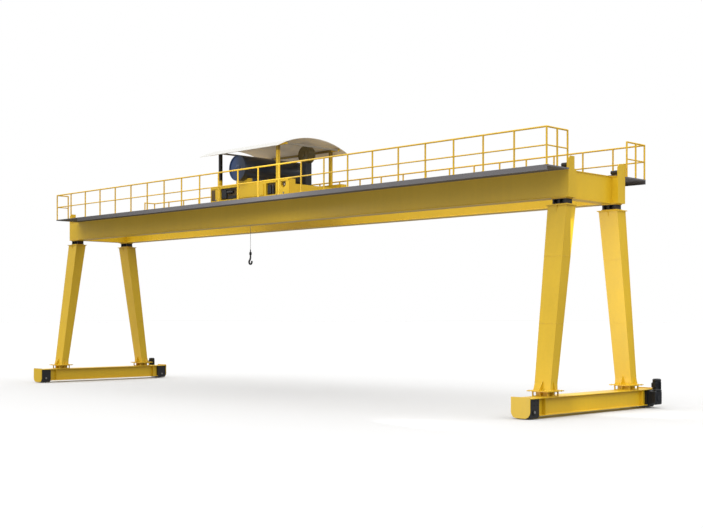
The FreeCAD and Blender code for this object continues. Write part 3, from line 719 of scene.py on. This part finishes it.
class CRANE_OT_girders(Operator):
    """Weld the girders' flanges and clip the trolley rails down"""

    bl_idname = "crane.girders"
    bl_label = "Girder welds and rail clips"

    def execute(self, context):
        lines = (
            (WEB_OUTER_Y, 1.0, GIRDER_LOW + GIRDER_FLANGE, 1.0, -GIRDER_END_X),
            (WEB_INNER_Y, -1.0, GIRDER_LOW + GIRDER_FLANGE, 1.0, -GIRDER_END_X),
            (WEB_INNER_Y, -1.0, GIRDER_TOP - GIRDER_FLANGE, -1.0, -GIRDER_END_X),
            (WEB_OUTER_Y, 1.0, DECK_LOW, -1.0, DECK_LEFT_X),
        )
        radius, passes = 0.012, 420
        welds = [bead((x0, y, z), (GIRDER_END_X, y, z), (0.0, out, 0.0), (0.0, 0.0, up), radius, passes)
                 for y, out, z, up, x0 in lines]
        add_piece("girder_welds", [both(merged(welds), 1)], "yellow_enamel", "gantry")
        half, depth, height, bolt_y = 0.035, 0.06, 0.014, 0.035
        clip = merged([block((-half, 0.0, 0.0), (half, depth, height)),
                       hexagon_head((0.0, bolt_y, height), Z_AXIS, 0.024, 0.011)])
        first_x, end_x, pitch = -13.2, 13.3, 0.6
        along = np.arange(first_x, end_x, pitch)
        rail_half = 0.03
        outer = copies(clip, [(x, RAIL_Y + rail_half, GIRDER_TOP) for x in along])
        inner = copies(mirrored(clip, 1), [(x, RAIL_Y - rail_half, GIRDER_TOP) for x in along])
        add_piece("rail_clips", [both(merged([outer, inner]), 1)], "rail_steel", "gantry")
        return {"FINISHED"}


class CRANE_OT_handrails(Operator):
    """Stand the handrail posts on bolted base plates and weld the rails to them"""

    bl_idname = "crane.handrails"
    bl_label = "Handrail feet and welds"

    def execute(self, context):
        post_x = np.linspace(HANDRAIL_LEFT_X, HANDRAIL_RIGHT_X, HANDRAIL_BAYS + 1)
        edge, half, behind, front, thick = 0.055, 0.05, 0.075, 0.022, 0.008
        bolt_x, bolt_y = 0.037, -0.06
        plate_x = np.clip(post_x, DECK_LEFT_X + edge, DECK_RIGHT_X - edge)
        plate = block((-half, -behind, 0.0), (half, front, thick), 0.002)
        heads = bolts([(-bolt_x, bolt_y, thick), (bolt_x, bolt_y, thick)], Z_AXIS, 0.02, 0.01)
        feet = [(x, HANDRAIL_Y, GIRDER_TOP) for x in plate_x]
        foot_weld = turned((0.0, 0.0, 0.0), Z_AXIS, [(0.038, 0.0), (0.036, 0.012), (0.0285, 0.02)], 16)
        knuckle = turned((0.0, 0.0, 0.0), X_AXIS, [(0.0225, 0.0), (0.029, 0.004), (0.0225, 0.014)], 12)
        beside_post = 0.026
        knuckles = both(moved(knuckle, (beside_post, 0.0, 0.0)), 0)
        inner = post_x[1:-1]
        welds = [copies(foot_weld, [(x, HANDRAIL_Y, GIRDER_TOP) for x in post_x]),
                 copies(knuckles, [(x, HANDRAIL_Y, HANDRAIL_MID_Z) for x in inner])]
        add_piece("handrail_feet", [both(merged([copies(plate, feet)] + welds), 1)],
                  "handrail_enamel", "gantry")
        add_piece("handrail_bolts", [both(copies(heads, feet), 1)], "zinc_fastener", "gantry")
        return {"FINISHED"}


class CRANE_OT_legs(Operator):
    """Bolt the legs' flanges and weld their ends and middle seams"""

    bl_idname = "crane.legs"
    bl_label = "Leg bolts and welds"

    def execute(self, context):
        foot_z = LEG_FOOT_Z + LEG_FLANGE
        head_z = LEG_HEAD_Z - LEG_FLANGE
        foot_half = [h + LEG_FLARE for h in LEG_FOOT_HALF]
        end_weld, seam_weld = 0.014, 0.006
        seam_shares = (0.36, 0.72)
        welds = [bead_frame((WHEEL_PLANE_X, LEG_FOOT_Y, foot_z), *foot_half, 1.0, end_weld),
                 bead_frame((WHEEL_PLANE_X, LEG_HEAD_Y, head_z), *LEG_HEAD_HALF, -1.0, end_weld)]
        for share in seam_shares:
            z = LEG_FOOT_Z + share * (LEG_HEAD_Z - LEG_FOOT_Z)
            y = LEG_FOOT_Y + share * (LEG_HEAD_Y - LEG_FOOT_Y)
            half = [a + share * (b - a) for a, b in zip(LEG_FOOT_HALF, LEG_HEAD_HALF)]
            welds.append(bead_frame((WHEEL_PLANE_X, y, z), *half, 1.0, seam_weld))
        add_piece("leg_welds", [corners(merged(welds))], "yellow_enamel", "gantry")
        rim_x, rim_y, head_x = 0.352, 0.335, 0.35
        across, height, head_height = 0.024, 0.013, 0.015
        rim = [(sx * rim_x, y) for sx in SIDES for y in (-0.3, -0.1, 0.1, 0.3)]
        rim += [(x, sy * rim_y) for sy in SIDES for x in (-0.22, -0.08, 0.08, 0.22)]
        top = [(WHEEL_PLANE_X + x, LEG_FOOT_Y + y, foot_z) for x, y in rim]
        under = [(WHEEL_PLANE_X + x, LEG_FOOT_Y + y, LEG_FOOT_Z) for x, y in rim]
        small = [(WHEEL_PLANE_X + sx * head_x, LEG_HEAD_Y + y, head_z)
                 for sx in SIDES for y in (-0.2, -0.07, 0.07, 0.2)]
        heads = merged([bolts(top, Z_AXIS, across, height), bolts(under, DOWN, across, height),
                        bolts(small, DOWN, across, head_height)])
        add_piece("leg_bolts", [corners(heads)], "yellow_enamel", "gantry")
        return {"FINISHED"}


class CRANE_OT_carriages(Operator):
    """Weld the end carriages and bolt the wheel housings, caps and axle ends"""

    bl_idname = "crane.carriages"
    bl_label = "Carriage welds and caps"

    def execute(self, context):
        radius, passes = 0.010, 220
        welds = []
        for side in SIDES:
            x = WHEEL_PLANE_X + side * CARRIAGE_WEB_HALF
            for z, up in ((CARRIAGE_LOW + CARRIAGE_FLANGE, 1.0), (CARRIAGE_TOP - CARRIAGE_FLANGE, -1.0)):
                welds.append(bead((x, -POCKET_Y, z), (x, POCKET_Y, z), (float(side), 0.0, 0.0),
                                  (0.0, 0.0, up), radius, passes))
        add_piece("carriage_welds", [both(merged(welds), 0)], "yellow_enamel", "gantry")
        cap_ring, axle_ring = 0.066, 0.022
        keeper_r, keeper_thick = 0.041, 0.008
        heads = []
        for side, y_sides in ((-1, (-1, 1)), (1, (-1,))):
            axis = (float(side), 0.0, 0.0)
            for y_side in y_sides:
                y = y_side * GROUND_WHEEL_Y
                cap_x = WHEEL_PLANE_X + side * CAP_OUT
                heads.append(bolt_circle((cap_x, y, GROUND_WHEEL_Z), axis, cap_ring, 6, 0.018, 0.010))
                face_x = WHEEL_PLANE_X + side * HOUSING_HALF
                corner_places = [(face_x, y + dy, z) for dy in (-0.17, 0.0, 0.17) for z in (0.40, 0.52)]
                heads.append(bolts(corner_places, axis, 0.03, 0.018))
        add_piece("housing_bolts", [both(merged(heads), 0)], "housing_enamel", "gantry")
        for x_name, x_side in (("right", 1), ("left", -1)):
            for y_name, y_side in (("far", 1), ("near", -1)):
                ends = [-x_side] if y_side > 0 else [-1, 1]
                keeper = []
                for end in ends:
                    axis = (float(end), 0.0, 0.0)
                    face = (x_side * WHEEL_PLANE_X + end * AXLE_OUT, y_side * GROUND_WHEEL_Y, GROUND_WHEEL_Z)
                    profile = [(keeper_r, 0.0), (keeper_r, 0.005), (0.036, keeper_thick)]
                    keeper.append(turned(face, axis, profile, 28))
                    rim = (face[0] + end * keeper_thick, face[1], face[2])
                    keeper.append(bolt_circle(rim, axis, axle_ring, 3, 0.013, 0.007))
                name = y_name + "_" + x_name + "_ground_wheel"
                add_piece(name + "_keeper", keeper, "zinc_fastener", name)
        return {"FINISHED"}


class CRANE_OT_drives(Operator):
    """Fin the travel motors and bolt their gearboxes"""

    bl_idname = "crane.drives"
    bl_label = "Travel drives"

    def execute(self, context):
        centre = (DRIVE_MOTOR_X, GROUND_WHEEL_Y)
        low, top, r = DRIVE_MOTOR_LOW, DRIVE_MOTOR_TOP, DRIVE_MOTOR_R
        base = (DRIVE_MOTOR_X, GROUND_WHEEL_Y, low)
        fin_root, fin_out, fin_count, fin_half = 0.006, 0.012, 40, 0.0028
        flange_out, flange_thick = 0.03, 0.022
        fins = radial_fins(centre, r - fin_root, r + fin_out, low + 0.055, top - 0.09, fin_count, fin_half)
        flange = turned(base, Z_AXIS, [(r + flange_out, 0.0), (r + flange_out, flange_thick),
                                       (r + 0.012, 0.032), (r + 0.006, 0.05)], 40)
        cowl = turned((*centre, top - 0.085), Z_AXIS,
                      [(r + 0.004, 0.0), (r + 0.008, 0.006), (r + 0.008, 0.07), (r * 0.86, 0.098),
                       (r * 0.5, 0.103), (0.01, 0.104)], 40)
        box_half, box_out, box_in, box_bottom, box_top = 0.07, 0.075, 0.02, low + 0.12, low + 0.25
        lid_lap, lid_half = 0.004, 0.006
        box_low = (DRIVE_MOTOR_X - box_half, GROUND_WHEEL_Y - r - box_out, box_bottom)
        terminal = block(box_low, (DRIVE_MOTOR_X + box_half, GROUND_WHEEL_Y - r + box_in, box_top), 0.008)
        lid = block((box_low[0] - lid_lap, box_low[1] - lid_half, box_bottom - lid_lap),
                    (DRIVE_MOTOR_X + box_half + lid_lap, box_low[1] + lid_half, box_top + lid_lap), 0.003)
        gland = turned((DRIVE_MOTOR_X, GROUND_WHEEL_Y - r - 0.035, box_bottom), DOWN,
                       [(0.017, 0.0), (0.017, 0.018), (0.012, 0.026), (0.009, 0.05)], 12)
        plug = turned((GEARBOX_OUT, GROUND_WHEEL_Y - 0.13, 0.18), X_AXIS,
                      [(0.022, 0.0), (0.022, 0.010), (0.018, 0.014)], 6)
        rib_x, rib_y = WHEEL_PLANE_X + HOUSING_HALF + 0.03, GROUND_WHEEL_Y - 0.198
        rib_pitch, rib_thick, rib_low, rib_top = 0.055, 0.012, 0.16, 0.50
        ribs = [block((rib_x + i * rib_pitch, rib_y, rib_low),
                      (rib_x + rib_thick + i * rib_pitch, rib_y + rib_thick, rib_top))
                for i in range(4)]
        body = merged([fins, flange, cowl, terminal, lid, gland, plug] + ribs)
        add_piece("drive_castings", [both(body, 0)], "drive_enamel", "gantry")
        heads = merged([
            bolt_circle((DRIVE_CAP_OUT, GROUND_WHEEL_Y, 0.33), X_AXIS, 0.108, 8, 0.02, 0.012),
            bolt_circle((*centre, low + flange_thick), Z_AXIS, r + 0.018, 4, 0.018, 0.010),
            bolts([(DRIVE_MOTOR_X + dx, box_low[1] - lid_half, low + dz) for dx in (-0.06, 0.06)
                   for dz in (0.13, 0.24)], (0.0, -1.0, 0.0), 0.010, 0.006)])
        add_piece("drive_bolts", [both(heads, 0)], "drive_enamel", "gantry")
        return {"FINISHED"}


class CRANE_OT_trolley(Operator):
    """Fill the trolley's recesses, put painted shade at their backs and fit its plates, bolts and axle ends
    """

    bl_idname = "crane.trolley"
    bl_label = "Trolley fittings"

    def execute(self, context):
        y = TROLLEY_SIDE_Y
        deep_y = y - 0.09
        gear = [block((-2.58, deep_y, 7.43), (-2.30, y - 0.012, 7.76), 0.010),
                block((-2.22, deep_y, 7.40), (-1.72, y - 0.03, 7.52), 0.010),
                turned((-2.24, y - 0.05, 7.66), X_AXIS, [(0.06, 0.0), (0.064, 0.01), (0.064, 0.24),
                                                        (0.05, 0.25), (0.05, 0.34), (0.03, 0.35)], 20),
                block((0.12, deep_y, 7.43), (0.30, y - 0.02, 7.74), 0.010),
                turned((0.42, y - 0.045, 7.42), Z_AXIS, [(0.04, 0.0), (0.04, 0.3), (0.03, 0.32)], 16)]
        pipe_r, pipe_long = 0.011, 0.94
        gear += [turned((-2.62, y - 0.03, z), X_AXIS, [(pipe_r, 0.0), (pipe_r, pipe_long)], 8)
                 for z in (7.79, 7.765)]
        add_piece("recess_machinery", [both(merged(gear), 1)], "drive_enamel", "trolley")
        out, plate_y = y + 0.014, y + 0.025
        strip, strip_low, strip_top = 0.05, 7.31, 7.88
        left, right = (-3.23, -2.66), (0.64, 1.35)
        trim = [block((x, y, strip_low + 0.02), (x + strip, out, strip_top - 0.01))
                for x in (right[0], right[1] - strip)]
        for x0, x1 in (right, left):
            trim.append(block((x0, y, strip_top - strip), (x1, out, strip_top)))
            trim.append(block((x0, y, strip_low), (x1, out, strip_low + strip)))
        cover = [(x, plate_y, z) for x in np.linspace(-1.44, -0.12, 7) for z in (7.42, 7.78)]
        trim.append(bolts(cover, Y_AXIS, 0.024, 0.013))
        post_foot_z, saddle_foot_z = TROLLEY_TOP + 0.012, TROLLEY_TOP + 0.02
        saddle_foot_x = 0.40
        for x in POST_X:
            trim.append(block((x - 0.1, POST_Y - 0.09, TROLLEY_TOP), (x + 0.1, POST_Y + 0.09, post_foot_z)))
            foot = [(x + dx, POST_Y + dy, post_foot_z) for dx in (-0.08, 0.08) for dy in (-0.07, 0.07)]
            trim.append(bolts(foot, Z_AXIS, 0.024, 0.014))
        for sx in SIDES:
            x = DRUM_X + sx * saddle_foot_x
            trim.append(block((x - 0.05, RAIL_Y - 0.1, TROLLEY_TOP), (x + 0.05, RAIL_Y + 0.1, saddle_foot_z)))
            foot = [(x + sx * 0.02, RAIL_Y + dy, saddle_foot_z) for dy in (-0.07, 0.07)]
            trim.append(bolts(foot, Z_AXIS, 0.03, 0.018))
        add_piece("trolley_trim", [both(merged(trim), 1)], "yellow_enamel", "trolley")
        # Thin brown sheets at the backs of the recesses: painted shade, the yellow steel darkened where the
        # recesses lie deep in shadow.
        shade_sheet_spans = (
            (-2.638, -1.642, 7.382, 7.818, -0.089, -0.084),
            (0.062, 0.598, 7.382, 7.818, -0.089, -0.084),
            (0.915, 1.145, 7.68, 7.81, -0.059, -0.055),
            (0.965, 1.095, 7.61, 7.68, -0.059, -0.055),
            (-3.19, -2.95, 7.38, 7.80, 0.001, 0.006),
        )
        shade_sheets = [block((x0, y + back, z0), (x1, y + face, z1), 0.001)
                 for x0, x1, z0, z1, back, face in shade_sheet_spans]
        add_piece("recess_shade_sheets", [both(merged(shade_sheets), 1)], "recess_painted_shade", "trolley")
        dot = hexagon_head((TROLLEY_WHEEL_X[1], y - 0.056, 7.715), Y_AXIS, 0.034, 0.02)
        add_piece("trolley_sensor", [both(dot, 1)], "roof_coat_and_painted_light", "trolley")
        keeper_r, keeper_ring = 0.032, 0.017
        for x_name, x in zip(("left", "right"), TROLLEY_WHEEL_X):
            for y_name, y_side in (("far", 1.0), ("near", -1.0)):
                axis = (0.0, y_side, 0.0)
                end = (x, y_side * (y + 0.008), TROLLEY_WHEEL_Z)
                rim = (x, y_side * (y + 0.017), TROLLEY_WHEEL_Z)
                keeper = [turned(end, axis, [(keeper_r, 0.0), (keeper_r, 0.006), (0.028, 0.009)], 24),
                          bolt_circle(rim, axis, keeper_ring, 3, 0.011, 0.006)]
                name = y_name + "_" + x_name + "_trolley_wheel"
                add_piece(name + "_keeper", keeper, "zinc_fastener", name)
        return {"FINISHED"}


class CRANE_OT_hoist(Operator):
    """Bolt the drum's ends and the gear case"""

    bl_idname = "crane.hoist"
    bl_label = "Hoist covers and bolts"

    def execute(self, context):
        recess_y, hub_r, hub_rim = DRUM_HALF - 0.035, 0.13, 0.016
        hub = turned((DRUM_X, recess_y, DRUM_Z), Y_AXIS,
                     [(hub_r, 0.0), (hub_r, hub_rim), (0.11, 0.024), (0.05, 0.026)], 40)
        heads = [bolt_circle((DRUM_X, recess_y + hub_rim, DRUM_Z), Y_AXIS, 0.12, 8, 0.016, 0.009),
                 bolt_circle((DRUM_X, DRUM_HALF, DRUM_Z), Y_AXIS, DRUM_R - 0.015, 24, 0.018, 0.010)]
        add_piece("drum_covers", [both(merged([hub] + heads), 1)], "drum_enamel_and_shade", "trolley")
        cover_r, cover_rim, rim_ring, cover_ring = 0.24, 0.014, 0.285, 0.23
        profile = [(cover_r, 0.0), (cover_r, cover_rim), (0.22, 0.020), (0.09, 0.022), (0.085, 0.05),
                   (0.06, 0.055)]
        parts = []
        for y, side in zip(GEAR_Y, SIDES):
            axis = (0.0, float(side), 0.0)
            parts.append(turned((GEAR_X, y, GEAR_Z), axis, profile, 48))
            parts.append(bolt_circle((GEAR_X, y, GEAR_Z), axis, rim_ring, 16, 0.022, 0.013))
            rim = (GEAR_X, y + side * cover_rim, GEAR_Z)
            parts.append(bolt_circle(rim, axis, cover_ring, 8, 0.014, 0.008))
        add_piece("gear_case_covers", parts, "gear_case_painted_shade", "trolley")
        return {"FINISHED"}


class CRANE_OT_hook(Operator):
    """Hang the hook on a stranded rope with a ferrule and a pin"""

    bl_idname = "crane.hook"
    bl_label = "Rope and hook fittings"

    def execute(self, context):
        wire_r, around, lay, core_r, strands = 0.0028, 0.0055, 0.075, 0.0035, 6
        wires = [strand(wire_r, around, lay, ROPE_LOW, ROPE_TOP, i * 2 * math.pi / strands)
                 for i in range(strands)]
        wires.append(turned((0.0, 0.0, ROPE_LOW), Z_AXIS, [(core_r, 0.0), (core_r, ROPE_TOP - ROPE_LOW)], 6))
        rope = add_piece("stranded_rope", [moved(merged(wires), (HOOK_X, HOOK_Y, 0.0))],
                         "rope_wire", None, 80.0)
        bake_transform(rope)
        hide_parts("hoist_rope")
        ferrule = turned((HOOK_X, HOOK_Y, ROPE_LOW), Z_AXIS,
                         [(0.040, 0.0), (0.036, 0.016), (0.020, 0.022), (0.018, 0.10), (0.011, 0.12)], 24)
        pin_r, pin_half = 0.014, 0.054
        pin = turned((HOOK_X, HOOK_Y - pin_half, ROPE_LOW - 0.05), Y_AXIS,
                     [(pin_r, 0.0), (pin_r, 2 * pin_half)], 16)
        add_piece("rope_ferrule", [ferrule, pin], "hook_forging", "hook_head")
        return {"FINISHED"}


class CRANE_OT_stage(Operator):
    """Lay the pale floor, set the soft lights and place the camera"""

    bl_idname = "crane.stage"
    bl_label = "Studio"

    def execute(self, context):
        s = context.scene.crane_stage
        lay_floor()
        paint_sky(context.scene, s)
        add_sun("front_glow", (-0.53, -0.83, -0.20), 0.50, 16.0)
        add_panel("leg_glow", (14.4, -1.0, 3.2), (-0.30, 0.95, 0.02), (3.0, 5.0), 85.0)
        add_panel("canopy_glow", (1.5, -4.6, 7.9), (-0.30, 0.85, 0.32), (3.0, 1.0), 52.0)
        add_panel("end_fill", (26.0, 0.0, 6.0), (-1.0, 0.0, -0.10), (12.0, 12.0), 170.0)
        add_panel("plate_glow", (11.8, -7.0, 0.9), (0.25, 0.97, -0.04), (2.0, 1.4), 24.0)
        add_sun("soft_key", (-0.35, -0.55, 0.90), 0.3, 50.0)
        eye = bpy.data.cameras.new("eye")
        eye.lens = s.lens
        eye.sensor_width = 36.0
        eye.shift_y = s.shift
        eye.clip_end = 2000.0
        camera = bpy.data.objects.new("eye", eye)
        context.scene.collection.objects.link(camera)
        camera.location = s.eye
        camera.rotation_euler = (math.pi / 2, 0.0, s.heading)
        context.scene.camera = camera
        context.scene.view_settings.view_transform = "Standard"
        context.scene.view_settings.look = "None"
        return {"FINISHED"}


def lay_floor():
    """A wide level sheet: point = (across, along, 0) on a square grid."""
    reach, lines, grey = 600.0, 13, 0.535
    side = np.linspace(-reach, reach, lines)
    x, y = np.meshgrid(side, side)
    points = np.stack([x, y, np.zeros_like(x)], -1)
    mesh = bpy.data.meshes.new("floor")
    mesh.from_pydata(points.reshape(-1, 3).tolist(), [], grid_faces(lines, lines, closed=False))
    mesh.materials.append(studio_floor("floor_coat", (grey, grey, grey)))
    floor = bpy.data.objects.new("floor", mesh)
    floor.visible_shadow = False
    floor.visible_diffuse = False
    floor.visible_glossy = False
    bpy.context.scene.collection.objects.link(floor)


def paint_sky(scene, stage):
    """White to the eye; to surfaces, bright overhead, quieter at the horizon and a little brighter below."""
    world = bpy.data.worlds.new("studio")
    world.use_nodes = True
    scene.world = world
    s = Shader(world.node_tree)
    height = s.axes(s.node("ShaderNodeTexCoord")["Generated"])[2]
    up = height.between(0.0, 0.85)
    down = (height * -1.0).between(0.0, 0.6)
    above, below = stage.sky_top - stage.sky_side, stage.sky_low - stage.sky_side
    strength = up * above + down * below + stage.sky_side
    white = (1.0, 1.0, 1.0, 1.0)
    light = s.node("ShaderNodeBackground", None, {"Color": white, "Strength": strength})
    plain = s.node("ShaderNodeBackground", None, {"Color": white, "Strength": 1.0})
    eye = s.node("ShaderNodeLightPath")["Is Camera Ray"]
    both_ways = s.node("ShaderNodeMixShader", None, {0: eye, 1: light["Background"], 2: plain["Background"]})
    s.node("ShaderNodeOutputWorld", None, {"Surface": both_ways["Shader"]})


def add_sun(name, towards, strength, width):
    """A soft distant light that stands in the given direction and is so many degrees wide."""
    sun = bpy.data.lights.new(name, "SUN")
    sun.energy = strength
    sun.angle = math.radians(width)
    holder = bpy.data.objects.new(name, sun)
    holder.rotation_mode = "QUATERNION"
    holder.rotation_quaternion = Vector(towards).to_track_quat("Z", "Y")
    bpy.context.scene.collection.objects.link(holder)


def add_panel(name, place, towards, size, power):
    """A soft rectangular lamp that only surfaces see, at a place and facing a direction."""
    lamp = bpy.data.lights.new(name, "AREA")
    lamp.shape = "RECTANGLE"
    lamp.size, lamp.size_y = size
    lamp.energy = power
    holder = bpy.data.objects.new(name, lamp)
    holder.location = place
    holder.rotation_mode = "QUATERNION"
    holder.rotation_quaternion = Vector(towards).to_track_quat("-Z", "Y")
    holder.visible_camera = False
    bpy.context.scene.collection.objects.link(holder)


class CRANE_PT_panel(Panel):
    bl_idname = "CRANE_PT_panel"
    bl_label = "Gantry crane"
    bl_space_type = "VIEW_3D"
    bl_region_type = "UI"
    bl_category = "Crane"

    def draw(self, context):
        for operator in OPERATORS:
            self.layout.operator(operator.bl_idname)
        for settings in (context.scene.crane_finish, context.scene.crane_stage):
            box = self.layout.box()
            for name in settings.__annotations__:
                box.prop(settings, name)


OPERATORS = (CRANE_OT_materials, CRANE_OT_girders, CRANE_OT_handrails, CRANE_OT_legs, CRANE_OT_carriages,
             CRANE_OT_drives, CRANE_OT_trolley, CRANE_OT_hoist, CRANE_OT_hook, CRANE_OT_stage)
CLASSES = (CraneFinish, CraneStage, *OPERATORS, CRANE_PT_panel)


def register():
    for cls in CLASSES:
        bpy.utils.register_class(cls)
    bpy.types.Scene.crane_finish = PointerProperty(type=CraneFinish)
    bpy.types.Scene.crane_stage = PointerProperty(type=CraneStage)


def unregister():
    del bpy.types.Scene.crane_stage
    del bpy.types.Scene.crane_finish
    for cls in reversed(CLASSES):
        bpy.utils.unregister_class(cls)


def main():
    register()
    bpy.ops.crane.materials()
    bpy.ops.crane.girders()
    bpy.ops.crane.handrails()
    bpy.ops.crane.legs()
    bpy.ops.crane.carriages()
    bpy.ops.crane.drives()
    bpy.ops.crane.trolley()
    bpy.ops.crane.hoist()
    bpy.ops.crane.hook()
    bpy.ops.crane.stage()


if __name__ == "__main__":
    main()
